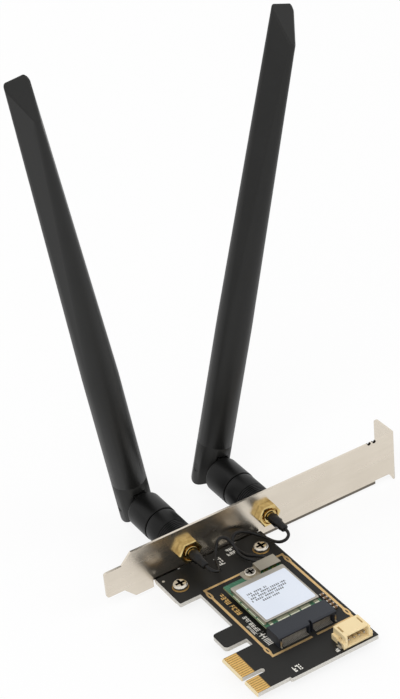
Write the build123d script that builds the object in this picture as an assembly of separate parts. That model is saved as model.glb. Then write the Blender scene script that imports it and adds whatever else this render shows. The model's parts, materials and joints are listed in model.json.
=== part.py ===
from build123d import *
import math
import os

# Frame: the origin is the centre of the edge tongue's key notch, on the tongue's leading edge,
# halfway through the board. +X runs along the bracket to its lip, +Y from the board out through
# the bracket to the antennas, +Z out of the board's component side. Millimetres.

# Fits
press_clearance = 0.02       # radial, between pieces that are pressed or clipped together
running_clearance = 0.05     # radial, between a shaft and the hole that it turns in
swivel_clearance = 0.1       # radial, between the elbow's neck and the collar round it
moving_gap = 0.3             # between faces that move past each other

# Adapter board
board_thickness = 1.6
board_left = 11.8            # left edge, from the tongue's leading edge
board_right = 46.6
board_corner = 0.4
board_gap = 0.5              # from the board's back edge to the bracket
tail_depth = 16.0            # wide stretch of the board beside the bracket
tail_reach = 8.0
front_step = 0.9             # from the tongue's end to the front edge
front_step_at = 12.7

# Edge tongue and hook
tongue_before_key = 12.15
tongue_after_key = 8.0
tongue_bevel = 0.45
key_width = 1.9
key_depth = 8.2
hook_gap = 3.55
hook_width = 8.3
hook_reach = 8.1
hook_corner = 1.4

# Edge contacts
contact_pitch = 1.0
contact_width = 0.72
contact_length = 4.5
contact_setback = 0.55
contact_thickness = 0.04
contact_from_key = 1.5
contacts_before_key = 11
contacts_after_key = 7

# Gold line that frames the module
trace_width = 0.9
trace_thickness = 0.04
trace_left = 13.4
trace_right = 45.6
trace_front = 3.0
trace_back = 44.8
trace_gap_at = 30.05
trace_gap = 1.9
loop_length = 4.4            # oval loops in the line, near its corners
loop_width = 1.7
loop_hole_length = 1.9
loop_hole_width = 0.5
loop_inset = 3.7             # from the trace's corner to the middle of each loop

# Bracket
bracket_face = 60.2          # board side of the bracket, from the key
sheet = 0.86
bracket_length = 120.02
bracket_width = 18.42
bracket_tip = -14.6          # end of the bracket's tongue
bracket_bottom = -2.4
bracket_tongue_width = 10.19
bracket_tongue_length = 6.8
bracket_taper_length = 4.0
bracket_tongue_corner = 1.0
bend_radius = 0.4
lip_depth = 11.43
lip_drop = 1.7               # how far the lip reaches below the bracket's long edge
lip_corner = 1.5
lip_flare_length = 1.5
lip_flare_corner = 1.0
lip_notch_width = 4.42
lip_notch_depth = 6.4
lip_notch_at = 6.3           # from the bracket's board side to the middle of the notch
edge_relief_length = 6.5
edge_relief_height = 1.4
top_nick = 0.8
top_nick_from_lip = (9.0, 11.2)

# Bracket tabs and their screws
tab_width = 9.0
tab_length = 13.0
tab_relief = 0.8
screw_x = (8.6, 41.1)
screw_y = 51.2
screw_shank = 1.48
screw_head = 2.65
screw_head_height = 1.7
screw_length = 5.0
screw_hole = 1.7
screw_dome = 0.45            # share of the head's height that its rounded rim takes
recess_width = 0.95
recess_length = 3.6
recess_depth = 1.05

# Radio module
module_left = 17.85
module_width = 22.0
module_back = 38.7
module_length = 30.0
module_thickness = 0.8
module_lift = 2.45           # from the adapter board to the module's underside
module_tongue_width = 19.85
module_tongue_length = 4.0
module_key_at = 30.15
module_key_width = 1.2
module_key_depth = 3.5
module_notch = 1.75
module_pad_pitch = 0.5
module_pad_width = 0.34
module_pad_length = 2.0
module_pad_thickness = 0.03

# Shield can, label and chip
shield_inset = 0.5           # from the module's long edges
shield_back_inset = 3.5
shield_length = 21.5
shield_height = 1.55
shield_wall = 0.2
shield_corner = 0.6
label_margin = 0.7
label_back_margin = 2.3
label_thickness = 0.08
label_corner = 0.6
chip_size = 11.0
chip_height = 0.9

# Module screw and standoff
standoff_radius = 2.4
module_screw_shank = 1.0
module_screw_head = 2.1
module_screw_head_height = 0.9
module_screw_length = 2.8
module_screw_inset = -0.2    # screw axis beyond the module's back edge

# Retaining clip
clip_sheet = 0.2
clip_width = 4.9
clip_ear_left = 25.6
clip_bridge_left = 31.6
clip_bridge_right = 39.7
clip_height = 1.65
clip_corner = 1.2

# Miniature coax receptacles and plugs
plug_x = (33.7, 37.1)
plug_inset = 1.5             # from the module's back edge
receptacle_size = 2.0
receptacle_base = 0.2
receptacle_radius = 0.72
receptacle_bore = 0.36
receptacle_pin = 0.14
receptacle_height = 0.6
plug_radius = 1.05
plug_lift = 0.25
plug_height = 0.95
plug_tail_width = 1.3
plug_tail_length = 3.2

# Module slot
slot_overhang = 0.25         # past the module, on each side
slot_depth = 7.35
slot_height = 4.2
slot_mouth_depth = 3.9
slot_mouth_clearance = 0.12
slot_bevel = 0.5
slot_window_depth = 1.3
slot_window_height = 3.1
slot_window_margin = 1.3
slot_key_gap = 1.6
slot_nick = 0.8
slot_tail_width = 0.3
slot_tail_length = 1.7
slot_tail_height = 2.4
slot_tail_thickness = 0.18
lug_inset = 0.6              # from the slot's end to the middle of its hold-down
lug_width = 0.55
lug_height = 2.6
lug_reach = 0.75
lug_thickness = 0.3

# Capacitors beside the slot
capacitor_length = 1.6
capacitor_width = 0.8
capacitor_height = 0.7
capacitor_x = 43.3
capacitor_y = 18.2
capacitor_pitch = 1.95
capacitors = 5

# Four-pin header
header_x = 39.1
header_back = -1.2
header_width = 11.4
header_depth = 7.0
header_height = 4.8
header_shoulder = 0.8        # the upper part is narrower by this on each side
header_shoulder_height = 2.2
header_wall = 0.8
header_floor = 0.8
header_roof_setback = 0.9
header_slot_width = 0.6
header_slot_length = 3.2
header_window = 1.5
header_pins = 4
header_pitch = 2.0
header_pin = 0.5
header_back_wall = 1.0
header_tail = 1.1
header_lug_length = 2.2
header_lug_height = 1.9
header_lug_sheet = 0.3
header_lug_foot = 0.8

# Bulkhead jacks, along +Y from the bracket's board side
jack_x = 17.3
jack_spacing = 32.1
jack_z = 7.4
jack_hex = 8.0
jack_hex_depth = 3.0
jack_hex_chamfer = 0.35
jack_recess_radius = 3.15
jack_recess_depth = 1.4
jack_neck_radius = 2.5
jack_neck_length = 0.4
jack_rear_wall = 0.6
jack_thread_radius = 3.175
jack_barrel_length = 11.0
jack_bore_radius = 2.3
jack_bore_depth = 5.0
jack_insulator_radius = 2.1
jack_insulator_step = 1.2
jack_contact_radius = 0.63
jack_tip_radius = 0.45
jack_tip_length = 3.5
jack_hole_clearance = 0.12
washer_radius = 4.9
washer_thickness = 0.5
washer_teeth = 12
washer_tooth_gap = 1.0
nut_thickness = 2.0

# Pigtails
ferrule_radius = 1.5
ferrule_length = 3.8
sleeve_wall = 0.35
sleeve_length = 8.7
sleeve_waist_radius = 1.32
sleeve_end_radius = 1.1
sleeve_setback = 0.2         # bare stretch of ferrule between the neck and the sleeve
cord_radius = 0.565
cord_lead = 2.4              # straight stretch at each end
bend_share = 0.45            # of the shorter run beside a bend, which the bend's arc takes

# Antennas, along +Y from the bracket's board side to the hinge
hinge_from_bracket = 35.0
collar_start = 4.0
collar_end = 16.2
collar_radius = 6.45
joint_round = 0.3            # rounded rims where the collar and the elbow meet
collar_grooves = 5           # grip rings at the collar's end by the bracket
groove_pitch = 0.9
groove_width = 0.4
groove_depth = 0.3
collar_nut_radius = 4.6
collar_nut_inset = 0.2
collar_nut_length = 10.0
collar_nut_web = 1.7
elbow_radius = 6.65
elbow_nose = 1.0             # rounding of the elbow's rim by the mast
neck_radius = 2.7
neck_flange_radius = 3.05
neck_flange_thickness = 0.9
plug_insulator_radius = 1.95
plug_insulator_gap = 0.3     # from the jack's insulator to the antenna's
plug_insulator_tail = 5.0    # how far it reaches into the elbow
plug_contact_radius = 0.75
plug_socket_depth = 3.6
tongue_thickness = 4.2
pin_radius = 1.5
pin_length = 12.2

# Mast, along +Z from the hinge
mast_radius = 6.3
mast_length = 170.0
mast_taper_start = 55.0
mast_lean = (-7.1, 15.4)     # degrees towards +X, left and right
ridge_reach = 6.4            # centres of the three corner arcs at the mast's end
rear_reach = 2.1
rear_spread = 3.05
ridge_radius = 0.75
rear_radius = 1.3
side_root = 4.0              # degrees of the round foot that each flat side grows from
tip_cut_drop = 4.1           # from the mast's end to the slanted cut, on the middle line
tip_cut_steepness = 47.6
tip_chamfer = 0.5
fork_slack = 0.2             # on each side of the elbow's tongue
fork_shoulder = 6.7
fork_seam = 9.6
spigot_radius = 5.0
spigot_length = 10.0
tip_solid = 22.0             # from the bore's end to the mast's end
tube_bore_tip = 2.6
tube_bore_base = 4.5
radiator_width = 4.6
radiator_thickness = 0.8
radiator_length = 118.0
radiator_seat = 6.0
feed_radius = 0.9

# Sizes that follow from the ones above
tip_cut_height = mast_length - tip_cut_drop
tube_bore_end = mast_length - tip_solid
board_top = board_thickness / 2
board_back = bracket_face - board_gap
board_front = -tongue_after_key - front_step
bracket_top = bracket_bottom + bracket_width
bracket_end = bracket_tip + bracket_length
lip_bottom = bracket_bottom - lip_drop
module_bottom = board_top + module_lift
module_top = module_bottom + module_thickness
module_right = module_left + module_width
module_middle = module_left + module_width / 2
slot_width = module_width + 2 * slot_overhang
module_front = module_back - module_length
shield_back = module_back - shield_back_inset
shield_front = shield_back - shield_length
shield_top = module_top + shield_height
module_screw_y = module_back - module_screw_inset
plug_y = module_back - plug_inset
slot_back = module_front + module_tongue_length - slot_mouth_clearance
slot_front = slot_back - slot_depth
header_front = header_back - header_depth
jack_rear = -jack_hex_depth - jack_neck_length
sleeve_start = jack_rear - sleeve_setback
sleeve_end = bracket_face + sleeve_start - sleeve_length
jack_places = (jack_x, jack_x + jack_spacing)
neck_start = jack_barrel_length + moving_gap
elbow_start = collar_end + moving_gap
sides = ("left", "right")

# Bends of the pigtails, between the straight stretches at each sleeve and at each plug
left_bends = [
    (19.1, 44.2, 6.3), (21.2, 45.6, 5.2), (22.6, 49.4, 4.3), (24.3, 53.8, 4.0), (26.8, 56.8, 5.2),
    (27.7, 57.4, 7.2), (29.5, 57.3, 7.9), (31.3, 56.3, 7.2), (31.9, 53.9, 5.5), (31.5, 50.2, 4.0),
    (32.0, 46.4, 4.1),
]
right_bends = [
    (47.7, 44.2, 6.3), (45.7, 45.4, 5.1), (44.9, 48.9, 3.7), (44.5, 53.2, 2.9), (42.8, 57.0, 3.1),
    (39.7, 58.4, 4.7), (36.3, 58.3, 6.2), (33.8, 57.6, 5.6), (32.8, 55.6, 3.7), (33.5, 52.3, 2.6),
    (34.3, 48.6, 2.9), (35.9, 45.3, 4.1),
]
cord_bends = (left_bends, right_bends)


def box(x0, x1, y0, y1, z0, z1):
    """Block between two corners."""
    middle = Pos((x0 + x1) / 2, (y0 + y1) / 2, (z0 + z1) / 2)
    return middle * Box(x1 - x0, y1 - y0, z1 - z0)


def plate(face, bottom, top):
    """Flat face raised into a plate between two heights."""
    return extrude(Pos(0, 0, bottom) * face, amount=top - bottom)


def rounded(face, corners, radius):
    """Face with the given corners rounded."""
    chosen = [v for v in face.vertices() if any(math.hypot(v.X - x, v.Y - y) < 1e-4 for x, y in corners)]
    return fillet(chosen, radius)


def edges_at(solid, axis, x=None, y=None, z=None):
    """Straight edges along an axis whose middles lie at the given places."""
    found = solid.edges().filter_by(axis)
    for name, value in (("X", x), ("Y", y), ("Z", z)):
        if value is not None:
            found = [e for e in found if abs(getattr(e.center(), name) - value) < 1e-4]
    return found


def turned(profile):
    """Solid of revolution about Z from (radius, height) points."""
    return revolve(Plane.XZ * Polygon(*profile, align=None), Axis.Z)


def rod(radius, start, end):
    """Cylinder along Z between two heights."""
    return Pos(0, 0, (start + end) / 2) * Cylinder(radius, end - start)


def tube(outer, inner, start, end):
    """Hollow cylinder along Z between two heights."""
    return rod(outer, start, end) - rod(inner, start, end)


def rod_x(radius, length):
    """Cylinder along X, centred on the origin."""
    return Rot(0, 90, 0) * Cylinder(radius, length)


def rod_y(radius, start, end):
    """Cylinder along Y between two places."""
    return Rot(-90, 0, 0) * rod(radius, start, end)


def at_jack(piece, x):
    """Turns a piece's Z onto a jack's axis, with height 0 on the bracket's board side."""
    return Pos(x, bracket_face, jack_z) * Rot(-90, 0, 0) * piece


def at_hinge(piece, side):
    """Places an upright antenna piece, made about its hinge, at its lean."""
    place = Pos(jack_places[side], bracket_face + hinge_from_bracket, jack_z)
    return place * Rot(0, mast_lean[side], 0) * piece


def pan_screw(head, head_height, shank, length):
    """Cross-recessed pan-head screw, with its seat at height 0."""
    cap = rod(head, 0, head_height)
    cap = fillet(cap.edges().filter_by(GeomType.CIRCLE).sort_by(Axis.Z)[-1], head_height * screw_dome)
    scale = head / screw_head
    arm = Box(recess_length * scale, recess_width * scale, 2 * recess_depth * scale)
    cross = Pos(0, 0, head_height) * (arm + Rot(0, 0, 90) * arm)
    return cap + rod(shank, -length, 0) - cross


def adapter_board():
    tail_left = board_left - tail_reach
    tail_front = board_back - tail_depth
    hook_left = board_left - hook_reach
    hook_front = tongue_before_key + hook_gap
    hook_back = hook_front + hook_width
    corners = [
        (0, -tongue_after_key), (front_step_at, -tongue_after_key), (front_step_at, board_front),
        (board_right, board_front), (board_right, board_back), (tail_left, board_back),
        (tail_left, tail_front), (board_left, tail_front), (board_left, hook_back), (hook_left, hook_back),
        (hook_left, hook_front), (board_left, hook_front), (board_left, tongue_before_key),
        (0, tongue_before_key),
    ]
    face = Polygon(*corners, align=None)
    face = rounded(face, [(hook_left, hook_back), (hook_left, hook_front)], hook_corner)
    face = rounded(face, corners[2:9] + corners[11:13], board_corner)
    key_end = key_depth - key_width / 2
    key = Pos(key_end / 2, 0) * Rectangle(key_end, key_width) + Pos(key_end, 0) * Circle(key_width / 2)
    board = plate(face - key, -board_top, board_top)
    board = chamfer(edges_at(board, Axis.Y, x=0), tongue_bevel)
    for x in screw_x:
        board -= Pos(x, screw_y, 0) * Cylinder(screw_hole, 2 * board_thickness)
    return board


def edge_contacts():
    before = [contact_from_key + i * contact_pitch for i in range(contacts_before_key)]
    after = [-contact_from_key - i * contact_pitch for i in range(contacts_after_key)]
    half = contact_width / 2
    pads = []
    for y in before + after:
        for low in (board_top, -board_top - contact_thickness):
            end = contact_setback + contact_length
            pads.append(box(contact_setback, end, y - half, y + half, low, low + contact_thickness))
    return Compound(pads)


def frame_trace():
    width = trace_right - trace_left
    depth = trace_back - trace_front
    middle = Pos((trace_left + trace_right) / 2, (trace_front + trace_back) / 2)
    ring = middle * (Rectangle(width, depth) - Rectangle(width - 2 * trace_width, depth - 2 * trace_width))
    ring -= Pos(trace_gap_at, trace_front) * Rectangle(trace_gap, 3 * trace_width)
    half = trace_width / 2
    for x in (trace_left + half, trace_right - half):
        for y in (trace_front + loop_inset, trace_back - loop_inset):
            outer = Pos(x, y) * Ellipse(loop_width / 2, loop_length / 2)
            inner = Pos(x, y) * Ellipse(loop_hole_width / 2, loop_hole_length / 2)
            ring = ring + outer - inner
    return plate(ring, board_top, board_top + trace_thickness)


def bracket():
    lip_inside = bracket_end - sheet
    middle = bracket_bottom + bracket_width / 2
    tongue_low = middle - bracket_tongue_width / 2
    tongue_high = middle + bracket_tongue_width / 2
    straight_end = bracket_tip + bracket_tongue_length
    taper_end = straight_end + bracket_taper_length
    flare_end = bracket_end - sheet - bend_radius
    flare_start = flare_end - lip_flare_length
    relief_start = flare_start - edge_relief_length
    relief_top = bracket_bottom + edge_relief_height
    outline = Polygon(
        (bracket_tip, tongue_low), (straight_end, tongue_low), (taper_end, bracket_bottom),
        (relief_start, bracket_bottom), (relief_start, relief_top), (flare_start, relief_top),
        (flare_end, lip_bottom), (bracket_end, lip_bottom), (bracket_end, bracket_top),
        (taper_end, bracket_top), (straight_end, tongue_high), (bracket_tip, tongue_high), align=None,
    )
    tongue_corners = [(bracket_tip, tongue_low), (bracket_tip, tongue_high)]
    outline = rounded(outline, tongue_corners, bracket_tongue_corner)
    outline = rounded(outline, [(flare_start, relief_top)], lip_flare_corner)
    for back in top_nick_from_lip:
        outline -= Pos(bracket_end - back, bracket_top) * Circle(top_nick / 2)
    wall = Plane((0, bracket_face, 0), x_dir=(1, 0, 0), z_dir=(0, -1, 0))
    body = extrude(wall * outline, amount=-sheet)

    lip = box(lip_inside, bracket_end, bracket_face, bracket_face + lip_depth, lip_bottom, bracket_top)
    lip = fillet(edges_at(lip, Axis.X, y=bracket_face + lip_depth), lip_corner)
    notch_y = bracket_face + lip_notch_at
    notch_z = lip_bottom + lip_notch_depth - lip_notch_width / 2
    half = lip_notch_width / 2
    lip -= Pos(bracket_end, notch_y, notch_z) * rod_x(half, 4 * sheet)
    mouth = lip_bottom - sheet
    lip -= box(lip_inside - sheet, bracket_end + sheet, notch_y - half, notch_y + half, mouth, notch_z)
    body = body + lip
    body = fillet(edges_at(body, Axis.Z, x=bracket_end, y=bracket_face), bend_radius + sheet)
    body = fillet(edges_at(body, Axis.Z, x=lip_inside, y=bracket_face + sheet), bend_radius)

    tab_top = -board_top
    tab_bottom = tab_top - sheet
    for x in screw_x:
        left = x - tab_width / 2
        right = x + tab_width / 2
        root_top = tab_top + bend_radius + sheet
        outside = bracket_face + sheet
        body -= box(left - tab_relief, right + tab_relief, bracket_face, outside, lip_bottom, root_top)
        tab = box(left, right, bracket_face, outside, tab_bottom, root_top)
        tab += box(left, right, bracket_face - tab_length, outside, tab_bottom, tab_top)
        tab = fillet(edges_at(tab, Axis.X, y=outside, z=tab_bottom), bend_radius + sheet)
        tab = fillet(edges_at(tab, Axis.X, y=bracket_face, z=tab_top), bend_radius)
        tab -= Pos(x, screw_y, tab_top) * Cylinder(screw_shank + press_clearance, 4 * sheet)
        body += tab
    for x in jack_places:
        body -= at_jack(rod(jack_thread_radius + jack_hole_clearance, -sheet, 2 * sheet), x)
    return body


def bracket_screws():
    screw = pan_screw(screw_head, screw_head_height, screw_shank, screw_length)
    return Compound([Pos(x, screw_y, board_top) * screw for x in screw_x])


def slot_housing():
    left = module_middle - slot_width / 2
    right = module_middle + slot_width / 2
    top = board_top + slot_height
    body = box(left, right, slot_front, slot_back, board_top, top)
    body = chamfer(edges_at(body, Axis.X, z=top), slot_bevel)
    half = module_tongue_width / 2 + slot_mouth_clearance
    mouth_end = slot_back - slot_mouth_depth - slot_mouth_clearance
    low = module_bottom - slot_mouth_clearance
    high = module_top + slot_mouth_clearance
    mouth = box(module_middle - half, module_middle + half, mouth_end, slot_back, low, high)
    rib_half = module_key_width / 2 - slot_mouth_clearance
    rib_back = module_front + module_key_depth - module_key_width
    mouth -= box(module_key_at - rib_half, module_key_at + rib_half, mouth_end, rib_back, low, high)
    body -= mouth
    window_end = slot_front + slot_window_depth
    window_top = board_top + slot_window_height
    gap = slot_key_gap / 2
    windows = [
        (left + slot_window_margin, module_key_at - gap),
        (module_key_at + gap, right - slot_window_margin),
    ]
    for start, end in windows:
        body -= box(start, end, slot_front, window_end, board_top, window_top)
    nick = slot_nick / 2
    return body - box(module_key_at - nick, module_key_at + nick, slot_front, window_end, board_top, top)


def slot_contacts():
    left = module_middle - slot_width / 2 + slot_window_margin + slot_tail_width
    count = int((slot_width - 2 * slot_window_margin - 2 * slot_tail_width) / module_pad_pitch) + 1
    end = slot_front + slot_window_depth
    tails = []
    for i in range(count):
        x = left + i * module_pad_pitch
        if abs(x - module_key_at) > slot_key_gap / 2 + slot_tail_width:
            left_side = x - slot_tail_width / 2
            right_side = x + slot_tail_width / 2
            bend = end - slot_tail_thickness
            knee = board_top + slot_tail_thickness
            foot = box(left_side, right_side, end - slot_tail_length, end, board_top, knee)
            riser = box(left_side, right_side, bend, end, board_top, board_top + slot_tail_height)
            tails.append(foot + riser)
    return Compound(tails)


def slot_hold_downs():
    lugs = []
    for side in (-1, 1):
        x = module_middle + side * (slot_width / 2 - lug_inset)
        left = x - lug_width / 2
        right = x + lug_width / 2
        front = slot_front - lug_thickness
        post = box(left, right, front, slot_front, board_top, board_top + lug_height)
        foot = box(left, right, slot_front - lug_reach, slot_front, board_top, board_top + lug_thickness)
        lugs.append(post + foot)
    return Compound(lugs)


def module_board():
    half = module_tongue_width / 2
    shoulder = module_front + module_tongue_length
    face = Polygon(
        (module_left, module_back), (module_left, shoulder), (module_middle - half, shoulder),
        (module_middle - half, module_front), (module_middle + half, module_front),
        (module_middle + half, shoulder), (module_right, shoulder), (module_right, module_back), align=None,
    )
    face -= Pos(module_middle, module_back) * Circle(module_notch)
    key_end = module_front + module_key_depth - module_key_width / 2
    key_length = key_end - module_front
    face -= Pos(module_key_at, module_front + key_length / 2) * Rectangle(module_key_width, key_length)
    face -= Pos(module_key_at, key_end) * Circle(module_key_width / 2)
    return plate(face, module_bottom, module_top)


def module_contacts():
    half = module_tongue_width / 2 - module_pad_pitch
    count = int(2 * half / module_pad_pitch) + 1
    start = module_front + module_pad_width
    end = start + module_pad_length
    pads = []
    for i in range(count):
        x = module_middle - half + i * module_pad_pitch
        if abs(x - module_key_at) > module_key_width / 2 + module_pad_width:
            for low in (module_top, module_bottom - module_pad_thickness):
                left = x - module_pad_width / 2
                right = x + module_pad_width / 2
                pads.append(box(left, right, start, end, low, low + module_pad_thickness))
    return Compound(pads)


def module_shield():
    left = module_left + shield_inset
    right = module_right - shield_inset
    can = box(left, right, shield_front, shield_back, module_top, shield_top)
    can = fillet(can.edges().filter_by(Axis.Z), shield_corner)
    can = fillet(can.faces().sort_by(Axis.Z)[-1].edges(), shield_wall)
    wall = shield_wall
    front = shield_front + wall
    back = shield_back - wall
    return can - box(left + wall, right - wall, front, back, module_top, shield_top - wall)


def module_label():
    inset = shield_inset + label_margin
    width = module_width - 2 * inset
    front = shield_front + label_margin
    back = shield_back - label_back_margin
    middle = Pos(module_middle, (front + back) / 2)
    face = middle * RectangleRounded(width, back - front, label_corner)
    return plate(face, shield_top, shield_top + label_thickness)


def radio_chip():
    y = (shield_front + shield_back) / 2
    return Pos(module_middle, y, module_top + chip_height / 2) * Box(chip_size, chip_size, chip_height)


def module_standoff():
    post = rod(standoff_radius, board_top, module_bottom)
    post -= rod(module_screw_shank + press_clearance, board_top, module_bottom)
    return Pos(module_middle, module_screw_y, 0) * post


def module_screw():
    screw = pan_screw(module_screw_head, module_screw_head_height, module_screw_shank, module_screw_length)
    return Pos(module_middle, module_screw_y, module_top + clip_sheet) * screw


def retaining_clip():
    back = module_screw_y + clip_width / 2
    front = module_screw_y - clip_width / 2
    top = module_top + clip_height
    ear = box(clip_ear_left, clip_bridge_left, front, back, module_top, module_top + clip_sheet)
    ear = fillet(edges_at(ear, Axis.Z, x=clip_ear_left), clip_corner)
    hole = Cylinder(module_screw_shank + press_clearance, 4 * clip_sheet)
    ear -= Pos(module_middle, module_screw_y, module_top) * hole
    step = box(clip_bridge_left - clip_sheet, clip_bridge_left, front, back, module_top, top)
    bridge = box(clip_bridge_left - clip_sheet, clip_bridge_right, front, back, top - clip_sheet, top)
    foot = box(clip_bridge_right - clip_sheet, clip_bridge_right, front, back, module_top, top)
    return ear + step + bridge + foot


def coax_receptacles():
    half = receptacle_size / 2
    base = box(-half, half, -half, half, 0, receptacle_base)
    post = tube(receptacle_radius, receptacle_bore, 0, receptacle_height)
    pin = rod(receptacle_pin, 0, receptacle_height)
    return Compound([Pos(x, plug_y, module_top) * (base + post + pin) for x in plug_x])


def pigtail_plug(side):
    high = plug_lift + plug_height
    tail = box(-plug_tail_width / 2, plug_tail_width / 2, 0, plug_tail_length, plug_lift, high)
    cap = rod(plug_radius, plug_lift, high) + tail
    cap -= rod(receptacle_radius + press_clearance, plug_lift, receptacle_height + press_clearance)
    return Pos(plug_x[side], plug_y, module_top) * cap


def pigtail(side):
    """Round cable along straight runs joined by the largest arcs that they allow."""
    x = jack_places[side]
    tail_end = plug_y + plug_tail_length
    tail_z = module_top + plug_lift + plug_height / 2
    route = [(x, sleeve_end, jack_z), (x, sleeve_end - cord_lead, jack_z)]
    route += cord_bends[side]
    route += [(plug_x[side], tail_end + cord_lead, tail_z), (plug_x[side], tail_end, tail_z)]
    points = [Vector(*p) for p in route]
    radii = []
    for before, corner, after in zip(points, points[1:], points[2:]):
        turn = math.radians((corner - before).get_angle(after - corner))
        shorter = min((corner - before).length, (after - corner).length)
        radii.append(bend_share * shorter / math.tan(turn / 2))
    path = FilletPolyline(*points, radius=radii)
    section = Plane(origin=path @ 0, z_dir=path % 0) * Circle(cord_radius)
    cable = sweep(section, path=path)
    share = cable.volume / (math.pi * cord_radius**2 * path.length)
    print(sides[side], "pigtail: length %.2f, volume %.3f of section times length" % (path.length, share))
    print("radii", " ".join("%.1f" % r for r in radii))
    return cable


def board_capacitors():
    chips = []
    for i in range(capacitors):
        place = Pos(capacitor_x, capacitor_y - i * capacitor_pitch, board_top + capacitor_height / 2)
        chips.append(place * Box(capacitor_length, capacitor_width, capacitor_height))
    return Compound(chips)


def header_pin_places():
    first = header_x - (header_pins - 1) * header_pitch / 2
    return [first + i * header_pitch for i in range(header_pins)]


def header_housing():
    left = header_x - header_width / 2
    right = header_x + header_width / 2
    top = board_top + header_height
    body = box(left, right, header_front, header_back, board_top, board_top + header_shoulder_height)
    upper_left = left + header_shoulder
    upper_right = right - header_shoulder
    body += box(upper_left, upper_right, header_front, header_back, board_top, top)
    floor = board_top + header_floor
    roof = top - header_floor
    cavity_back = header_back - header_back_wall
    inner_left = upper_left + header_wall
    inner_right = upper_right - header_wall
    roof_front = header_front + header_roof_setback
    body -= box(inner_left, inner_right, header_front, cavity_back, floor, roof)
    body -= box(inner_left, inner_right, header_front, roof_front, roof, top)
    window_y = (header_front + cavity_back) / 2
    middle = (floor + roof) / 2
    for x in (inner_left, inner_right - header_slot_width):
        body -= box(x, x + header_slot_width, cavity_back - header_slot_length, cavity_back, roof, top)
    body -= Pos(header_x, window_y, middle) * Box(2 * header_width, header_window, header_window)
    hole = header_pin + 2 * press_clearance
    for x in header_pin_places():
        body -= Pos(x, header_back, middle) * Box(hole, 3 * header_back_wall, hole)
    return body


def header_pin_row():
    middle = board_top + header_height / 2
    half = header_pin / 2
    pins = []
    for x in header_pin_places():
        start = header_front + header_roof_setback
        pin = box(x - half, x + half, start, header_back + header_pin, middle - half, middle + half)
        leg = header_back + press_clearance
        pin += box(x - half, x + half, leg, leg + header_pin, board_top, middle + half)
        pin += box(x - half, x + half, leg, leg + header_tail, board_top, board_top + header_pin / 2)
        pins.append(pin)
    return Compound(pins)


def header_hold_downs():
    lugs = []
    start = header_front + header_roof_setback
    for side in (-1, 1):
        wall = header_x + side * header_width / 2
        upright = sorted((wall, wall + side * header_lug_sheet))
        foot = sorted((wall, wall + side * header_lug_foot))
        lug = box(*upright, start, start + header_lug_length, board_top, board_top + header_lug_height)
        lug += box(*foot, start, start + header_lug_length, board_top, board_top + header_lug_sheet)
        lugs.append(lug)
    return Compound(lugs)


def hexagon(across, start, end):
    """Six-sided block along Z, with its width across flats, between two heights."""
    face = RegularPolygon(across / 2, 6, major_radius=False)
    return plate(face, start, end)


def jack_body():
    front = -jack_hex_depth
    body = hexagon(jack_hex, front, 0)
    body = chamfer(body.faces().sort_by(Axis.Z)[0].edges(), jack_hex_chamfer)
    body -= rod(jack_recess_radius, front, front + jack_recess_depth)
    body += rod(jack_neck_radius, jack_rear, 0)
    body += rod(jack_thread_radius, 0, jack_barrel_length)
    body -= rod(jack_bore_radius, jack_barrel_length - jack_bore_depth, jack_barrel_length)
    body -= rod(jack_insulator_radius + press_clearance, jack_rear + jack_rear_wall, jack_barrel_length)
    return body - rod(jack_insulator_step + press_clearance, jack_rear, jack_barrel_length)


def jack_insulator():
    end = jack_barrel_length - jack_bore_depth
    sleeve = rod(jack_insulator_radius, jack_rear + jack_rear_wall, end)
    sleeve += rod(jack_insulator_step, jack_rear, end)
    return sleeve - rod(jack_contact_radius + press_clearance, jack_rear, end)


def jack_contact():
    shoulder = jack_barrel_length - jack_bore_depth
    tip = rod(jack_tip_radius, shoulder, shoulder + jack_tip_length)
    return rod(jack_contact_radius, jack_rear, shoulder) + tip


def lock_washer():
    ring = tube(washer_radius, jack_thread_radius + press_clearance, sheet, sheet + washer_thickness)
    middle = Pos(0, 0, sheet + washer_thickness / 2)
    gap = Box(washer_tooth_gap, washer_tooth_gap, 2 * washer_thickness)
    for place in PolarLocations(washer_radius, washer_teeth):
        ring -= middle * place * gap
    return ring


def jack_nut():
    start = sheet + washer_thickness
    nut = hexagon(jack_hex, start, start + nut_thickness)
    return nut - rod(jack_thread_radius + press_clearance, start, start + nut_thickness)


def crimp_ferrule():
    return rod(ferrule_radius, jack_rear - ferrule_length, jack_rear)


def heat_shrink():
    end = sleeve_start - sleeve_length
    ferrule_end = jack_rear - ferrule_length
    bore = ferrule_radius + press_clearance
    outer = bore + sleeve_wall
    waist = (ferrule_end + end) / 2
    return turned([
        (bore, sleeve_start), (outer, sleeve_start), (outer, ferrule_end), (sleeve_waist_radius, waist),
        (sleeve_end_radius, end), (0, end), (0, ferrule_end), (bore, ferrule_end),
    ])


def collar():
    nut_end = collar_start + collar_nut_inset + collar_nut_length
    shell = rod(collar_radius, collar_start, collar_end)
    ends = shell.edges().filter_by(GeomType.CIRCLE)
    shell = fillet(ends, joint_round)
    for i in range(collar_grooves):
        middle = collar_start + (i + 1) * groove_pitch
        low = middle - groove_width / 2
        shell -= tube(2 * collar_radius, collar_radius - groove_depth, low, low + groove_width)
    shell -= rod(collar_nut_radius + press_clearance, collar_start, nut_end + press_clearance)
    return shell - rod(neck_radius + 2 * swivel_clearance, collar_start, collar_end)


def collar_nut():
    start = collar_start + collar_nut_inset
    end = start + collar_nut_length
    nut = tube(collar_nut_radius, neck_radius + swivel_clearance, start, end)
    return nut - rod(jack_thread_radius + running_clearance, start, end - collar_nut_web)


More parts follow.
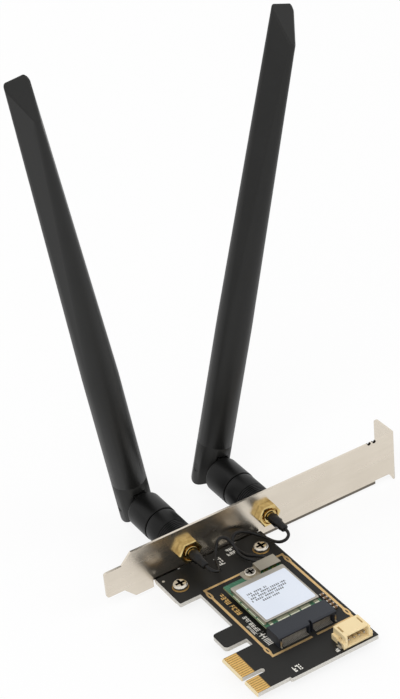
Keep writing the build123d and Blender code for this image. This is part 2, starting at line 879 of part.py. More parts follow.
def elbow():
    """Elbow about its hinge at the origin, with its neck towards -Y."""
    start = elbow_start - hinge_from_bracket
    neck = neck_start - hinge_from_bracket
    barrel = rod_y(elbow_radius, start, -mast_radius - moving_gap)
    rims = barrel.edges().filter_by(GeomType.CIRCLE).sort_by(Axis.Y)
    barrel = fillet(rims[0], joint_round)
    barrel = fillet(barrel.edges().filter_by(GeomType.CIRCLE).sort_by(Axis.Y)[-1], elbow_nose)
    knuckle = box(-mast_radius, mast_radius, start / 2, 0, -mast_radius, mast_radius)
    knuckle += rod_x(mast_radius, 2 * elbow_radius)
    slab = Box(tongue_thickness, 2 * hinge_from_bracket, 4 * elbow_radius)
    body = barrel + (knuckle & slab & rod_y(elbow_radius, start, 2 * elbow_radius))
    body += rod_y(neck_radius, neck, start + elbow_radius / 2)
    body += rod_y(neck_flange_radius, neck, neck + neck_flange_thickness)
    body -= rod_y(plug_insulator_radius + press_clearance, neck, start + plug_insulator_tail)
    return body - rod_x(pin_radius + running_clearance, 4 * elbow_radius)


def plug_insulator_ends():
    front = jack_barrel_length - jack_bore_depth + plug_insulator_gap - hinge_from_bracket
    rear = elbow_start + plug_insulator_tail - hinge_from_bracket
    return front, rear


def plug_insulator():
    front, rear = plug_insulator_ends()
    bore = rod_y(plug_contact_radius + press_clearance, front, rear)
    return rod_y(plug_insulator_radius, front, rear) - bore


def plug_contact():
    front, rear = plug_insulator_ends()
    socket = jack_tip_radius + running_clearance
    return rod_y(plug_contact_radius, front, rear) - rod_y(socket, front, front + plug_socket_depth)


def hinge_pin():
    return rod_x(pin_radius, pin_length)


def mast_fork():
    """Fork about its hinge at the origin, with the mast upwards and the elbow towards -Y."""
    wide = 4 * mast_radius
    blank = rod(mast_radius, -mast_radius, fork_seam)
    body = blank & (rod_x(mast_radius, wide) + box(-wide, wide, -wide, wide, 0, wide))
    slot = tongue_thickness / 2 + fork_slack
    body -= box(-slot, slot, -wide, wide, -wide, fork_shoulder)
    body += rod(spigot_radius, fork_seam, fork_seam + spigot_length)
    pocket = fork_seam + spigot_length - radiator_seat
    half = radiator_width / 2 + press_clearance
    thick = radiator_thickness / 2 + press_clearance
    body -= box(-half, half, -thick, thick, pocket, fork_seam + spigot_length)
    body -= rod(feed_radius + press_clearance, fork_shoulder, pocket)
    return body - rod_x(pin_radius + press_clearance, wide)


def mast_skin():
    """Round foot that grows into a rounded triangle, its ridge towards the bracket."""
    corners = (
        (0, -ridge_reach, ridge_radius),
        (rear_spread, rear_reach, rear_radius),
        (-rear_spread, rear_reach, rear_radius),
    )
    facings = []
    for (x0, y0, r0), (x1, y1, r1) in zip(corners, corners[1:] + corners[:1]):
        heading = math.atan2(y1 - y0, x1 - x0)
        spread = math.asin((r0 - r1) / math.hypot(x1 - x0, y1 - y0))
        facings.append(math.degrees(heading + spread) - 90)
    foot = []
    arcs = []
    for i, (x, y, radius) in enumerate(corners):
        turn = (facings[i] - facings[i - 1]) % 360
        foot.append(CenterArc((0, 0), mast_radius, facings[i - 1] + side_root / 2, turn - side_root))
        foot.append(CenterArc((0, 0), mast_radius, facings[i] - side_root / 2, side_root))
        arcs.append(CenterArc((x, y), radius, facings[i - 1], turn))
    flats = [Line(arc @ 1, after @ 0) for arc, after in zip(arcs, arcs[1:] + arcs[:1])]
    end = [edge for pair in zip(arcs, flats) for edge in pair]
    sections = [Pos(0, 0, mast_taper_start) * make_face(foot), Pos(0, 0, mast_length) * make_face(end)]
    return rod(mast_radius, fork_seam, mast_taper_start) + loft(sections, ruled=True)


def mast_tube():
    """Hollow mast with a slanted cut at its tip, which faces the bracket."""
    socket = spigot_radius + press_clearance
    socket_end = fork_seam + spigot_length + press_clearance
    bore = turned([
        (0, fork_seam), (socket, fork_seam), (socket, socket_end), (tube_bore_base, socket_end),
        (tube_bore_tip, tube_bore_end), (0, tube_bore_end),
    ])
    reach = 2 * mast_length
    block = Box(reach, reach, reach, align=(Align.CENTER, Align.CENTER, Align.MIN))
    slope = math.tan(math.radians(tip_cut_steepness))
    cut = Plane((0, 0, tip_cut_height), z_dir=(0, -slope, 1))
    skin = mast_skin() - cut * block
    rim = skin.faces().sort_by(Axis.Z)[-1].edges()
    return chamfer(rim, tip_chamfer) - bore


def radiator():
    start = fork_seam + spigot_length - radiator_seat
    half = radiator_width / 2
    thick = radiator_thickness / 2
    return box(-half, half, -thick, thick, start, start + radiator_length)


def feed_lead():
    return rod(feed_radius, fork_shoulder, fork_seam + spigot_length - radiator_seat)


os.makedirs("parts", exist_ok=True)
nodes = {
    "bracket": bracket(),
    "bracket_screws": bracket_screws(),
    "adapter_board": adapter_board(),
    "edge_contacts": edge_contacts(),
    "frame_trace": frame_trace(),
    "board_capacitors": board_capacitors(),
    "slot_housing": slot_housing(),
    "slot_contacts": slot_contacts(),
    "slot_hold_downs": slot_hold_downs(),
    "module_standoff": module_standoff(),
    "module_screw": module_screw(),
    "module_board": module_board(),
    "module_contacts": module_contacts(),
    "module_shield": module_shield(),
    "module_label": module_label(),
    "radio_chip": radio_chip(),
    "coax_receptacles": coax_receptacles(),
    "retaining_clip": retaining_clip(),
    "header_housing": header_housing(),
    "header_pins": header_pin_row(),
    "header_hold_downs": header_hold_downs(),
    "jack_nuts": Compound([at_jack(jack_nut(), x) for x in jack_places]),
    "jack_lock_washers": Compound([at_jack(lock_washer(), x) for x in jack_places]),
}
jack_pieces = {
    "jack_body": jack_body(),
    "jack_insulator": jack_insulator(),
    "jack_contact": jack_contact(),
    "crimp_ferrule": crimp_ferrule(),
    "heat_shrink": heat_shrink(),
    "collar": collar(),
    "collar_nut": collar_nut(),
}
antenna_pieces = {
    "elbow": elbow(),
    "plug_insulator": plug_insulator(),
    "plug_contact": plug_contact(),
    "hinge_pin": hinge_pin(),
    "mast_fork": mast_fork(),
    "mast_tube": mast_tube(),
    "radiator": radiator(),
    "feed_lead": feed_lead(),
}
for side, name in enumerate(sides):
    nodes[name + "_pigtail"] = pigtail(side)
    nodes[name + "_pigtail_plug"] = pigtail_plug(side)
    for piece, solid in jack_pieces.items():
        nodes[name + "_" + piece] = at_jack(solid, jack_places[side])
    for piece, solid in antenna_pieces.items():
        nodes[name + "_" + piece] = at_hinge(solid, side)

for node, solid in nodes.items():
    export_step(solid, "parts/" + node + ".step")
print(len(nodes), "nodes")
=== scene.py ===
import json
import math

import bmesh
import bpy
from mathutils import Matrix, Vector


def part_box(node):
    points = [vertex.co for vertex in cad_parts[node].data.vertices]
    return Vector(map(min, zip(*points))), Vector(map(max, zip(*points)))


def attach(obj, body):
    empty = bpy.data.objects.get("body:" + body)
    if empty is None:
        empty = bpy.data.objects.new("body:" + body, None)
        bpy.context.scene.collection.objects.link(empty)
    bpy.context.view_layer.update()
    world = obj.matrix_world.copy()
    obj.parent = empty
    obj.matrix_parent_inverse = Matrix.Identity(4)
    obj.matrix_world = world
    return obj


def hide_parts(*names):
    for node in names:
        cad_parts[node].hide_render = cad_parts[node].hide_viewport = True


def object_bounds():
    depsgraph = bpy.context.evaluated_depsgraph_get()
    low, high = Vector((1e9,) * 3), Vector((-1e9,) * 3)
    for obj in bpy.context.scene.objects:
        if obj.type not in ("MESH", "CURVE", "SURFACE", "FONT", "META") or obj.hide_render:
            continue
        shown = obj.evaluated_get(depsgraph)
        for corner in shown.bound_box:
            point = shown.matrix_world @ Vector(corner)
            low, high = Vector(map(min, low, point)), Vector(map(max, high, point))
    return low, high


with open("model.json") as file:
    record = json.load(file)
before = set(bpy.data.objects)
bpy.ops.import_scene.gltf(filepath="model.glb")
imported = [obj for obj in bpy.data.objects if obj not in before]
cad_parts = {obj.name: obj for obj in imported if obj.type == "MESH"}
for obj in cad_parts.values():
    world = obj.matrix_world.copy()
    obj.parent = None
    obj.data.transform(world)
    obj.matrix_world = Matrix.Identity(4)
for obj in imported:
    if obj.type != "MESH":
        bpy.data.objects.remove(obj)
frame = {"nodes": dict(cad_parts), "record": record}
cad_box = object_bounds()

MM = 0.001

# Camera, at the photograph's place and angle
CAMERA_PLACE = (-235.61, -415.11, 431.60)
CAMERA_AZIMUTH = -29.205
CAMERA_ELEVATION = 32.674
CAMERA_ROLL = -5.680
CAMERA_LENS = 103.68

# Pigtails: the routes' points, in millimetres, from each sleeve to its plug
CORD_DIAMETER = 1.13
LEFT_ROUTE = [
    (17.3, 47.9, 7.4), (17.3, 45.5, 7.4), (19.1, 44.2, 6.3), (21.2, 45.6, 5.2), (22.6, 49.4, 4.3),
    (24.3, 53.8, 4.0), (26.8, 56.8, 5.2), (27.7, 57.4, 7.2), (29.5, 57.3, 7.9), (31.3, 56.3, 7.2),
    (31.9, 53.9, 5.5), (31.5, 50.2, 4.0), (32.0, 46.4, 4.1), (33.7, 42.8, 4.775), (33.7, 40.4, 4.775),
]
RIGHT_ROUTE = [
    (49.4, 47.9, 7.4), (49.4, 45.5, 7.4), (47.7, 44.2, 6.3), (45.7, 45.4, 5.1), (44.9, 48.9, 3.7),
    (44.5, 53.2, 2.9), (42.8, 57.0, 3.1), (39.7, 58.4, 4.7), (36.3, 58.3, 6.2), (33.8, 57.6, 5.6),
    (32.8, 55.6, 3.7), (33.5, 52.3, 2.6), (34.3, 48.6, 2.9), (35.9, 45.3, 4.1), (37.1, 42.8, 4.775),
    (37.1, 40.4, 4.775),
]


def paint(red, green, blue):
    """Colour written as it looks on a screen, from 0 to 255, as a linear colour."""
    def straight(level):
        level = level / 255
        return level / 12.92 if level <= 0.04045 else ((level + 0.055) / 1.055) ** 2.4
    return (straight(red), straight(green), straight(blue), 1.0)


class Wire:
    """A socket in a node tree. Arithmetic and comparisons on wires add Math nodes."""

    def __init__(self, tree, socket=None):
        self.tree = tree
        self.socket = socket

    def fill(self, made, sockets):
        """Gives a node's sockets their values or links."""
        for key, value in sockets.items():
            if isinstance(value, Wire):
                self.tree.links.new(value.socket, made.inputs[key])
            else:
                made.inputs[key].default_value = value

    def node(self, kind, settings=None, sockets=None, out=0):
        """Adds a node with its settings, then its sockets, and gives one of its outputs."""
        made = self.tree.nodes.new("ShaderNode" + kind)
        for key, value in (settings or {}).items():
            setattr(made, key, value)
        self.fill(made, sockets or {})
        return Wire(self.tree, made.outputs[out])

    def math(self, operation, *values):
        return self.node("Math", {"operation": operation}, dict(enumerate(values)))

    def __add__(self, other):
        return self.math("ADD", self, other)

    def __sub__(self, other):
        return self.math("SUBTRACT", self, other)

    def __rsub__(self, other):
        return self.math("SUBTRACT", other, self)

    def __mul__(self, other):
        return self.math("MULTIPLY", self, other)

    def __truediv__(self, other):
        return self.math("DIVIDE", self, other)

    def __gt__(self, other):
        return self.math("GREATER_THAN", self, other)

    def __lt__(self, other):
        return self.math("LESS_THAN", self, other)

    def __or__(self, other):
        return self.math("MAXIMUM", self, other)

    def __abs__(self):
        return self.math("ABSOLUTE", self)

    __radd__ = __add__
    __rmul__ = __mul__


def begin(name):
    """New material, its wires and its shader node."""
    material = bpy.data.materials.new(name)
    material.use_nodes = True
    return material, Wire(material.node_tree), material.node_tree.nodes["Principled BSDF"]


def place_in_mm(wires):
    """The surface point in millimetres in the part's frame, as a vector and as three numbers."""
    point = wires.node("TexCoord", out="Object")
    place = wires.node("VectorMath", {"operation": "SCALE"}, {0: point, "Scale": 1 / MM})
    return [place] + [wires.node("SeparateXYZ", {}, {0: place}, out) for out in range(3)]


def stretch(wires, place, factors):
    """The point with each axis stretched."""
    return wires.node("VectorMath", {"operation": "MULTIPLY"}, {0: place, 1: factors})


def noise(wires, place, scale, detail=2.0):
    return wires.node("TexNoise", {}, {"Vector": place, "Scale": scale, "Detail": detail})


def mix(wires, share, first, second):
    """Colour between two colours."""
    return wires.node("Mix", {"data_type": "RGBA"}, {0: share, 6: first, 7: second}, out=2)


def bump(wires, height, strength, distance):
    """Normal raised by a height, with distance in millimetres."""
    return wires.node("Bump", {}, {"Height": height, "Strength": strength, "Distance": distance * MM})


def patch(x, y, left, right, front, back):
    """1 inside a rectangle on a flat piece, and 0 outside."""
    return (x > left) * (x < right) * (y > front) * (y < back)


def dashes(along, pitch, duty):
    """1 on each dash of a dashed line, and 0 between them."""
    return along.math("FRACT", along / pitch) < duty


def marks(wires, x, y, boxes):
    """Rows of plain marks in rectangles on a flat piece: in each cell a few stems and bars, by chance."""
    ink = None
    for left, right, front, back, pitch in boxes:
        wide = right - left > back - front
        cell = (x - left if wide else y - front) / pitch
        rise = (y - front) / (back - front) if wide else (x - left) / (right - left)
        across = cell.math("FRACT", cell)
        seed = cell.math("FLOOR", cell) + left * 7.0 + front * 3.0
        chance = wires.node("TexWhiteNoise", {"noise_dimensions": "1D"}, {"W": seed}, "Color")
        one, two, three = [wires.node("SeparateColor", {}, {0: chance}, out) for out in range(3)]
        stems = (across < 0.26) * (one > 0.25) | (across > 0.5) * (two > 0.5)
        bars = (rise < 0.22) * (three > 0.5) | (rise > 0.78) * (one < 0.6)
        bars = bars | (abs(rise - 0.5) < 0.11) * (two < 0.7)
        block = patch(x, y, left, right, front, back) * (stems | bars) * (across < 0.76)
        ink = block if ink is None else ink | block
    return ink


def ring(x, y, centre, inner, outer):
    """1 between two circles round a centre."""
    far = (x - centre[0]).math("POWER", x - centre[0], 2.0) + y.math("POWER", y - centre[1], 2.0)
    return (far > inner ** 2) * (far < outer ** 2)


# Board finishes

TONGUE_BARE = 5.3
TONGUE_RIM = 0.5
TONGUE_END = 13.0
# Cut edges beyond this line keep the dark mask colour: painted shade in the gap by the bracket
SHADED_BACK_EDGE = 59.4
SCREW_PLACES = ((8.6, 51.2), (41.1, 51.2))
SCREW_PAD = (2.0, 2.9)
TIN_DOTS = ((5.4, 57.1), (45.0, 57.6))

# Printed marks: left, right, front and back of each, then the pitch of its cells
TAN_MARKS = ((15.9, 17.7, 27.0, 32.4, 1.5), (15.9, 17.7, 33.6, 39.7, 1.5))
WHITE_MARKS = (
    (16.2, 17.7, 16.4, 25.3, 1.3), (14.9, 15.8, 15.6, 20.6, 0.8), (15.6, 18.0, 12.4, 15.3, 1.4),
    (15.6, 18.0, 8.6, 11.9, 1.4), (30.2, 34.9, 54.8, 56.3, 1.2), (31.0, 34.2, 57.0, 58.4, 1.2),
    (25.1, 27.4, 52.3, 56.6, 1.3), (15.4, 18.3, -7.2, -4.6, 1.2), (31.2, 32.4, -7.6, -5.9, 0.9),
)


def black_board():
    """Black solder mask with printed strokes, bare laminate on the tongue and pale cut edges, with painted
    shade on the back edge by the bracket.
    """
    material, wires, shader = begin("black_board")
    place, x, y, z = place_in_mm(wires)
    weave = noise(wires, place, 2.2, 4.0)
    cloud = noise(wires, place, 0.12, 2.0)
    colour = mix(wires, weave * 0.5 + cloud * 0.5, paint(16, 16, 15), paint(34, 33, 31))
    tan = marks(wires, x, y, TAN_MARKS)
    white = marks(wires, x, y, WHITE_MARKS)
    gold = ring(x, y, SCREW_PLACES[0], *SCREW_PAD) | ring(x, y, SCREW_PLACES[1], *SCREW_PAD)
    tin = ring(x, y, TIN_DOTS[0], 0.0, 0.5) | ring(x, y, TIN_DOTS[1], 0.0, 0.5)
    top = z > 0.0
    colour = mix(wires, tan * top, colour, paint(224, 182, 112))
    colour = mix(wires, white * top, colour, paint(236, 233, 224))
    colour = mix(wires, gold, colour, paint(178, 146, 92))
    colour = mix(wires, tin, colour, paint(205, 203, 198))
    bare = x < TONGUE_BARE
    laminate = mix(wires, weave, paint(120, 92, 44), paint(164, 132, 76))
    colour = mix(wires, bare * (y < TONGUE_END), colour, laminate)
    upright = abs(wires.node("SeparateXYZ", {}, {0: wires.node("TexCoord", out="Normal")}, 2))
    layers = dashes(z, 0.4, 0.82)
    edge = mix(wires, layers * 0.6 + weave * 0.4, paint(166, 162, 154), paint(226, 223, 216))
    # Pale cut edges, except the back edge, which is left dark as painted shade
    colour = mix(wires, (upright < 0.8) * (y < SHADED_BACK_EDGE), colour, edge)
    colour = mix(wires, (x < TONGUE_RIM) * (y < TONGUE_END), colour, paint(238, 220, 178))
    metal = gold | tin
    wires.fill(shader, {
        "Base Color": colour, "Metallic": metal, "Roughness": 0.44 - 0.16 * metal + 0.12 * cloud,
        "Normal": bump(wires, weave + 2.0 * (white | tan), 0.12, 0.05), "Specular IOR Level": 0.3,
    })
    return material


def gold_plate(name, dark, light, rough, blotch=0.9):
    """Plated gold, faintly worn; on the jack gold the strong blotches are painted reflection."""
    material, wires, shader = begin(name)
    place = place_in_mm(wires)[0]
    wear_and_reflection = noise(wires, place, blotch, 4.0)
    fine = noise(wires, stretch(wires, place, (6.0, 1.0, 6.0)), 1.5, 2.0)
    wires.fill(shader, {
        "Base Color": mix(wires, wear_and_reflection, dark, light), "Metallic": 1.0,
        "Roughness": rough + 0.14 * wear_and_reflection, "Normal": bump(wires, fine, 0.06, 0.02),
    })
    return material


def tinned(name, dark, light, rough, streak):
    """Bright tin or nickel, with rolling streaks along one axis."""
    material, wires, shader = begin(name)
    place = place_in_mm(wires)[0]
    streaks = noise(wires, stretch(wires, place, streak), 1.6, 5.0)
    smudge = noise(wires, place, 0.12, 2.0)
    wires.fill(shader, {
        "Base Color": mix(wires, streaks * 0.6 + smudge * 0.4, dark, light), "Metallic": 1.0,
        "Roughness": rough + 0.1 * streaks, "Normal": bump(wires, streaks, 0.08, 0.02),
    })
    return material


# Screw heads: middle, height of the top, and reach of the cross
SCREW_HEADS = ((8.6, 51.2, 2.5, 1.9), (41.1, 51.2, 2.5, 1.9), (28.85, 38.9, 5.15, 1.5))


def screw_steel():
    """Bright plated steel, with painted shade in the cross of each head."""
    material, wires, shader = begin("screw_steel")
    place, x, y, z = place_in_mm(wires)
    cloud = noise(wires, place, 0.9, 3.0)
    # Painted shade: dark in the cross-shaped hollow below each head's top
    recess_shade = None
    for across, along, top, reach in SCREW_HEADS:
        one = ring(x, y, (across, along), 0.0, reach) * (z < top - 0.05) * (z > top - 1.3)
        recess_shade = one if recess_shade is None else recess_shade | one
    steel = mix(wires, cloud, paint(196, 186, 170), paint(240, 235, 226))
    wires.fill(shader, {
        "Base Color": mix(wires, recess_shade, steel, paint(40, 34, 28)), "Metallic": 1.0,
        "Roughness": 0.16 + 0.3 * recess_shade + 0.1 * cloud, "Normal": bump(wires, cloud, 0.15, 0.05),
    })
    return material


# Painted shade along the bracket's lower edge: start, end and top
LOWER_EDGE_SHADE = (47.0, 97.4, -1.3)
# Nicks in the bracket's upper edge: distances from the lip, and radius of the painted shade round each
NICKS = (9.0, 11.2)
NICK_SHADE_RADIUS = 0.75


def plated_steel():
    """Rolled sheet with faint lengthways streaks, with painted shade along the lower edge and in the notches
    of the upper edge.
    """
    material, wires, shader = begin("plated_steel")
    place, x, y, z = place_in_mm(wires)
    streaks = noise(wires, stretch(wires, place, (0.04, 0.5, 0.5)), 1.2, 1.0)
    smudge = noise(wires, place, 0.06, 2.0)
    colour = mix(wires, streaks * 0.35 + smudge * 0.65, paint(206, 196, 181), paint(232, 223, 209))
    # Painted shade: a dark band along the bracket's lower edge
    low = (z < LOWER_EDGE_SHADE[2]) * (x > LOWER_EDGE_SHADE[0]) * (x < LOWER_EDGE_SHADE[1])
    colour = mix(wires, low * (0.7 + 0.3 * smudge), colour, paint(60, 54, 47))
    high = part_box("bracket")[1]
    # Painted shade: dark discs where the notches cut the upper edge
    near, far = [ring(x, z, (high[0] / MM - back, high[2] / MM), 0.0, NICK_SHADE_RADIUS) for back in NICKS]
    nick_shade = near | far
    colour = mix(wires, nick_shade, colour, paint(42, 38, 34))
    wires.fill(shader, {
        "Base Color": colour, "Metallic": 1.0, "Roughness": 0.22 + 0.08 * streaks,
        "Normal": bump(wires, smudge, 0.05, 0.02),
    })
    return material


def moulded(name, dark, light, rough, grain_scale, grain_depth, shine=0.5):
    """Moulded plastic with a fine grain."""
    material, wires, shader = begin(name)
    place = place_in_mm(wires)[0]
    grain = noise(wires, place, grain_scale, 3.0)
    cloud = noise(wires, place, 0.08, 2.0)
    wires.fill(shader, {
        "Base Color": mix(wires, cloud * 0.7 + grain * 0.3, dark, light),
        "Roughness": rough + 0.1 * cloud, "Normal": bump(wires, grain, 0.25, grain_depth),
        "Specular IOR Level": shine,
    })
    return material


def capacitor_body():
    """Brown ceramic with tinned ends."""
    material, wires, shader = begin("capacitor_body")
    place, x, y, z = place_in_mm(wires)
    low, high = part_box("board_capacitors")
    middle = (low[0] + high[0]) / 2 / MM
    end = abs(x - middle) > 0.48
    speck = noise(wires, place, 3.0, 3.0)
    clay = mix(wires, speck, paint(112, 84, 58), paint(148, 116, 84))
    wires.fill(shader, {
        "Base Color": mix(wires, end, clay, paint(200, 196, 188)), "Metallic": end,
        "Roughness": 0.5 - 0.2 * end + 0.1 * speck,
    })
    return material


# Pads beside the shield can: left, right, front and back of each
SHIELD_PADS = (
    (19.6, 20.8, 12.95, 13.6), (22.7, 27.2, 12.95, 13.6), (27.7, 31.3, 12.95, 13.6),
    (31.9, 35.6, 12.95, 13.6), (37.3, 39.0, 12.95, 13.6), (17.95, 18.25, 14.5, 18.6),
    (17.95, 18.25, 19.4, 23.8), (17.95, 18.25, 24.6, 28.0), (17.95, 18.25, 28.8, 32.9),
    (39.45, 39.75, 16.6, 17.4), (39.45, 39.75, 19.8, 20.8), (39.45, 39.75, 23.0, 24.2),
)


def green_board():
    """Green solder mask with pale pads, on a pale laminate."""
    material, wires, shader = begin("green_board")
    place, x, y, z = place_in_mm(wires)
    cloud = noise(wires, place, 0.6, 4.0)
    colour = mix(wires, cloud, paint(28, 78, 56), paint(62, 122, 92))
    tracks = dashes(x + y * 0.35, 0.9, 0.22) * (noise(wires, place, 0.35, 1.0) > 0.52)
    colour = mix(wires, tracks * 0.5, colour, paint(92, 150, 112))
    upright = abs(wires.node("SeparateXYZ", {}, {0: wires.node("TexCoord", out="Normal")}, 2))
    colour = mix(wires, upright < 0.4, colour, paint(128, 140, 104))
    pads = None
    for pad in SHIELD_PADS:
        one = patch(x, y, *pad)
        pads = one if pads is None else pads | one
    colour = mix(wires, pads, colour, paint(226, 226, 204))
    wires.fill(shader, {
        "Base Color": colour, "Roughness": 0.28 + 0.15 * cloud,
        "Normal": bump(wires, tracks + cloud * 0.3 + pads, 0.15, 0.03),
    })
    return material


# Rows of the label: middle, left and right of each
LABEL_ROWS = (
    (28.6, 20.9, 28.4), (27.3, 20.7, 35.2), (26.0, 20.5, 34.9), (24.7, 20.4, 33.0), (23.2, 23.2, 30.0),
)
LABEL_ROW_HEIGHT = 0.85


def label_paper():
    """Coated paper with rows of plain dark dashes."""
    material, wires, shader = begin("label_paper")
    place, x, y, z = place_in_mm(wires)
    fibre = noise(wires, place, 1.4, 5.0)
    cloud = noise(wires, place, 0.06, 1.0)
    colour = mix(wires, cloud * 0.7 + fibre * 0.3, paint(216, 224, 238), paint(236, 241, 249))
    ink = None
    for row, (middle, left, right) in enumerate(LABEL_ROWS):
        half = LABEL_ROW_HEIGHT / 2
        strip = patch(x, y, left, right, middle - half, middle + half)
        letters = dashes(x + row * 0.37, 0.74, 0.62) * dashes(x + row * 1.9, 3.9, 0.84)
        line = strip * letters
        ink = line if ink is None else ink | line
    colour = mix(wires, ink * (0.8 + 0.2 * fibre), colour, paint(26, 28, 34))
    wires.fill(shader, {
        "Base Color": colour, "Roughness": 0.46 + 0.12 * fibre, "Normal": bump(wires, fibre, 0.08, 0.02),
    })
    return material


def cord_jacket():
    """Glossy black jacket of the thin coax."""
    material, wires, shader = begin("cord_jacket")
    place = place_in_mm(wires)[0]
    ripple = noise(wires, place, 1.1, 3.0)
    wires.fill(shader, {
        "Base Color": mix(wires, ripple, paint(8, 8, 8), paint(20, 19, 19)),
        "Roughness": 0.22 + 0.14 * ripple, "Normal": bump(wires, ripple, 0.1, 0.03),
        "Specular IOR Level": 0.3,
    })
    return material


def copper_strip():
    """Copper foil with a faint patina."""
    return gold_plate("copper_strip", paint(150, 84, 54), paint(206, 128, 88), 0.3)


finishes = {
    "plated_steel": plated_steel(),
    "screw_steel": screw_steel(),
    "black_board": black_board(),
    "contact_gold": gold_plate("contact_gold", paint(216, 170, 92), paint(248, 208, 136), 0.28),
    "trace_gold": gold_plate("trace_gold", paint(212, 176, 118), paint(242, 210, 158), 0.36),
    "capacitor_ceramic": capacitor_body(),
    "slot_plastic": moulded("slot_plastic", paint(24, 27, 33), paint(38, 42, 50), 0.4, 5.0, 0.02),
    "tin": tinned("tin", paint(166, 160, 148), paint(206, 201, 190), 0.26, (0.15, 3.0, 3.0)),
    "green_board": green_board(),
    "label_paper": label_paper(),
    "chip_plastic": moulded("chip_plastic", paint(26, 26, 28), paint(40, 40, 42), 0.5, 6.0, 0.03),
    "ivory_plastic": moulded("ivory_plastic", paint(226, 200, 146), paint(246, 226, 182), 0.4, 4.0, 0.02),
    # Jack gold: the wide dark-to-light blotches are painted reflection
    "jack_gold": gold_plate("jack_gold", paint(134, 98, 38), paint(255, 232, 166), 0.08, 0.5),
    "white_plastic": moulded("white_plastic", paint(226, 226, 220), paint(242, 242, 238), 0.4, 3.0, 0.02),
    "black_sleeve": moulded("black_sleeve", paint(8, 8, 8), paint(18, 17, 17), 0.3, 1.2, 0.2, 0.3),
    "cord_black": cord_jacket(),
    "antenna_plastic": moulded("antenna_plastic", paint(20, 20, 19), paint(32, 32, 31), 0.38, 7.0, 0.02, 0.32),
    "hinge_plastic": moulded("hinge_plastic", paint(8, 8, 8), paint(16, 16, 15), 0.34, 7.0, 0.02, 0.22),
    "clip_steel": tinned("clip_steel", paint(158, 150, 134), paint(204, 196, 180), 0.26, (0.15, 9.0, 3.0)),
    "copper": copper_strip(),
}

# Painted light: a lighter copy of the tin for the slot's contact tails, lifting them out of the shade under
# the housing
slot_tails = tinned("slot_tails", paint(150, 146, 140), paint(226, 222, 215), 0.5, (6.0, 0.5, 0.5))

for part in frame["record"]["subparts"]:
    for place in frame["nodes"][part["node"]].material_slots:
        place.material = slot_tails if part["node"] == "slot_contacts" else finishes[part["material_slot"]]


# Softened edges

EDGES = {
    "bracket": 0.3, "adapter_board": 0.08, "slot_housing": 0.1, "header_housing": 0.14, "retaining_clip": 0.04,
    "module_board": 0.05, "bracket_screws": 0.08, "module_screw": 0.06, "jack_nuts": 0.12,
    "left_jack_body": 0.16, "right_jack_body": 0.16,
    "left_collar": 0.2, "right_collar": 0.2, "left_elbow": 0.25, "right_elbow": 0.25,
    "left_mast_fork": 0.25, "right_mast_fork": 0.25, "left_mast_tube": 0.25, "right_mast_tube": 0.25,
}

for name, width in EDGES.items():
    piece = frame["nodes"][name]
    weld = piece.modifiers.new("weld", "WELD")
    weld.merge_threshold = 0.001 * MM
    edge = piece.modifiers.new("edge", "BEVEL")
    edge.width = width * MM
    edge.segments = 2
    edge.limit_method = "ANGLE"
    edge.angle_limit = math.radians(35)
    edge.harden_normals = True


# Pieces that the solids leave plain

def add_piece(name, mesh, slot):
    """Adds a finished mesh or curve to the card."""
    piece = bpy.data.objects.new(name, mesh)
    bpy.context.scene.collection.objects.link(piece)
    mesh.materials.append(finishes[slot])
    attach(piece, "card")
    return piece


# Lumps of the shrunk sleeves: share of the radius, waves round the sleeve, and waves along it per millimetre
SLEEVE_LUMPS = ((0.05, 3, 1.7), (0.04, 5, -3.1), (0.05, 0, 4.2))


def turned_mesh(name, profile, centre, turns=40):
    """Closed mesh turned about a line along Y, from (place along Y, radius) pairs."""
    shape = bmesh.new()
    rings = []
    for along, radius in profile:
        points = []
        for step in range(turns):
            angle = math.tau * step / turns
            lump = 1.0
            for depth, round_waves, along_waves in SLEEVE_LUMPS:
                lump += depth * math.sin(round_waves * angle + along_waves * along)
            side = Vector((math.cos(angle), 0.0, math.sin(angle))) * radius * lump
            points.append(shape.verts.new((Vector((centre[0], along, centre[1])) + side) * MM))
        rings.append(points)
    for one, two in zip(rings, rings[1:]):
        for step in range(turns):
            after = (step + 1) % turns
            shape.faces.new((one[step], one[after], two[after], two[step]))
    shape.faces.new(rings[0])
    shape.faces.new(rings[-1])
    bmesh.ops.recalc_face_normals(shape, faces=shape.faces)
    for face in shape.faces:
        face.smooth = len(face.verts) == 4
    mesh = bpy.data.meshes.new(name)
    shape.to_mesh(mesh)
    shape.free()
    return mesh


def cord(name, route, node):
    """Smooth round cable along a route."""
    curve = bpy.data.curves.new(name, "CURVE")
    curve.dimensions = "3D"
    curve.bevel_depth = CORD_DIAMETER / 2 * MM
    curve.bevel_resolution = 6
    curve.resolution_u = 12
    curve.use_fill_caps = True
    spline = curve.splines.new("NURBS")
    spline.points.add(len(route) - 1)
    for point, place in zip(spline.points, route):
        point.co = [value * MM for value in place] + [1.0]
    spline.order_u = 3
    spline.use_endpoint_u = True
    piece = add_piece(name, curve, "cord_black")
    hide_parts(node)


cord("left_cable", LEFT_ROUTE, "left_pigtail")
cord("right_cable", RIGHT_ROUTE, "right_pigtail")

# Shrunk sleeves: distance from the sleeve's end at the cable, and radius
SLEEVE_PROFILE = (
    (0.0, 0.62), (0.05, 0.95), (0.5, 1.28), (1.2, 1.46), (2.0, 1.4), (2.9, 1.38), (3.8, 1.55), (4.7, 1.8),
    (5.6, 1.9), (7.4, 1.88), (8.3, 1.84), (8.65, 1.66), (8.7, 1.52),
)
for side in ("left", "right"):
    low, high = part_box(side + "_heat_shrink")
    centre = ((low[0] + high[0]) / 2 / MM, (low[2] + high[2]) / 2 / MM)
    profile = [(low[1] / MM + along, radius) for along, radius in SLEEVE_PROFILE]
    sleeve = add_piece(side + "_sleeve", turned_mesh(side + "_sleeve", profile, centre), "black_sleeve")
    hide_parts(side + "_heat_shrink")


# Floor, light and camera

FLOOR_HALF = 3.0
FLOOR_GLOW = 0.85        # share of the floor that shows as plain white, the rest takes the shadow


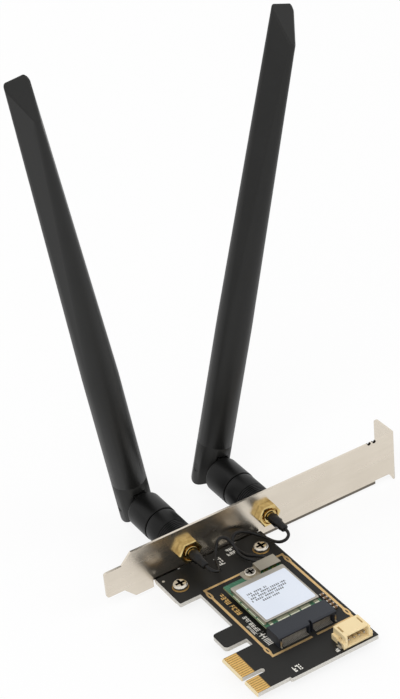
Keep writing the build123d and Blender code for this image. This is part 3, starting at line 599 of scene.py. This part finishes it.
def white_backdrop():
    """Floor that the camera sees as white, with the part's soft shadow kept."""
    material, wires, shader = begin("white_backdrop")
    wires.tree.nodes.remove(shader)
    lit = wires.node("BsdfDiffuse", {}, {"Color": (0.94, 0.94, 0.94, 1.0)})
    glow = wires.node("Emission", {}, {"Color": (1.0, 1.0, 1.0, 1.0), "Strength": 1.0})
    seen = wires.node("LightPath", out="Is Camera Ray")
    shone = wires.node("LightPath", out="Is Glossy Ray")
    through = wires.node("LightPath", out="Is Transmission Ray")
    share = (seen | shone | through) * FLOOR_GLOW
    both = wires.node("MixShader", {}, {0: share, 1: lit, 2: glow})
    wires.fill(wires.tree.nodes["Material Output"], {"Surface": both})
    return material


def studio():
    """White surroundings, plain soft lamps and the pale floor."""
    world = bpy.data.worlds.new("studio")
    bpy.context.scene.world = world
    world.use_nodes = True
    wires = Wire(world.node_tree)
    seen = wires.node("LightPath", out="Is Camera Ray")
    shone = wires.node("LightPath", out="Is Glossy Ray")
    through = wires.node("LightPath", out="Is Transmission Ray")
    share = seen | shone | through
    wires.fill(world.node_tree.nodes["Background"], {
        "Color": (1.0, 1.0, 1.0, 1.0), "Strength": 0.5 + 0.5 * share,
    })
    for name, place, size, power in LAMPS:
        lamp = bpy.data.lights.new(name, "AREA")
        lamp.energy = power
        lamp.size = size
        lamp_object = bpy.data.objects.new(name, lamp)
        bpy.context.scene.collection.objects.link(lamp_object)
        lamp_object.location = place
        lamp_object.visible_glossy = False
        aim = Vector(LAMP_AIM) - Vector(place)
        lamp_object.rotation_euler = aim.to_track_quat("-Z", "Y").to_euler()
    floor_mesh = bpy.data.meshes.new("floor")
    level = cad_box[0][2]
    corners = [(-1, -1), (1, -1), (1, 1), (-1, 1)]
    floor_mesh.from_pydata([(x * FLOOR_HALF, y * FLOOR_HALF, level) for x, y in corners], [], [(0, 1, 2, 3)])
    floor = bpy.data.objects.new("floor", floor_mesh)
    bpy.context.scene.collection.objects.link(floor)
    floor_mesh.materials.append(white_backdrop())


LAMP_AIM = (0.03, 0.06, 0.05)
LAMPS = (
    ("key_lamp", (-0.55, -0.45, 0.95), 0.7, 6.0),
    ("fill_lamp", (0.75, -0.5, 0.6), 0.8, 3.0),
    ("back_lamp", (0.2, 0.9, 0.7), 0.8, 3.0),
)


def camera():
    """Camera at the photograph's place, angle and lens."""
    lens = bpy.data.cameras.new("camera")
    lens.lens = CAMERA_LENS
    lens.sensor_width = 36.0
    lens.clip_end = 20.0
    eye = bpy.data.objects.new("camera", lens)
    bpy.context.scene.collection.objects.link(eye)
    turn = Matrix.Rotation(math.radians(CAMERA_AZIMUTH), 4, "Z")
    tilt = Matrix.Rotation(math.radians(90 - CAMERA_ELEVATION), 4, "X")
    roll = Matrix.Rotation(math.radians(CAMERA_ROLL), 4, "Z")
    eye.matrix_world = Matrix.Translation(Vector(CAMERA_PLACE) * MM) @ turn @ tilt @ roll
    bpy.context.scene.camera = eye


studio()
camera()
bpy.context.scene.view_settings.view_transform = "Standard"
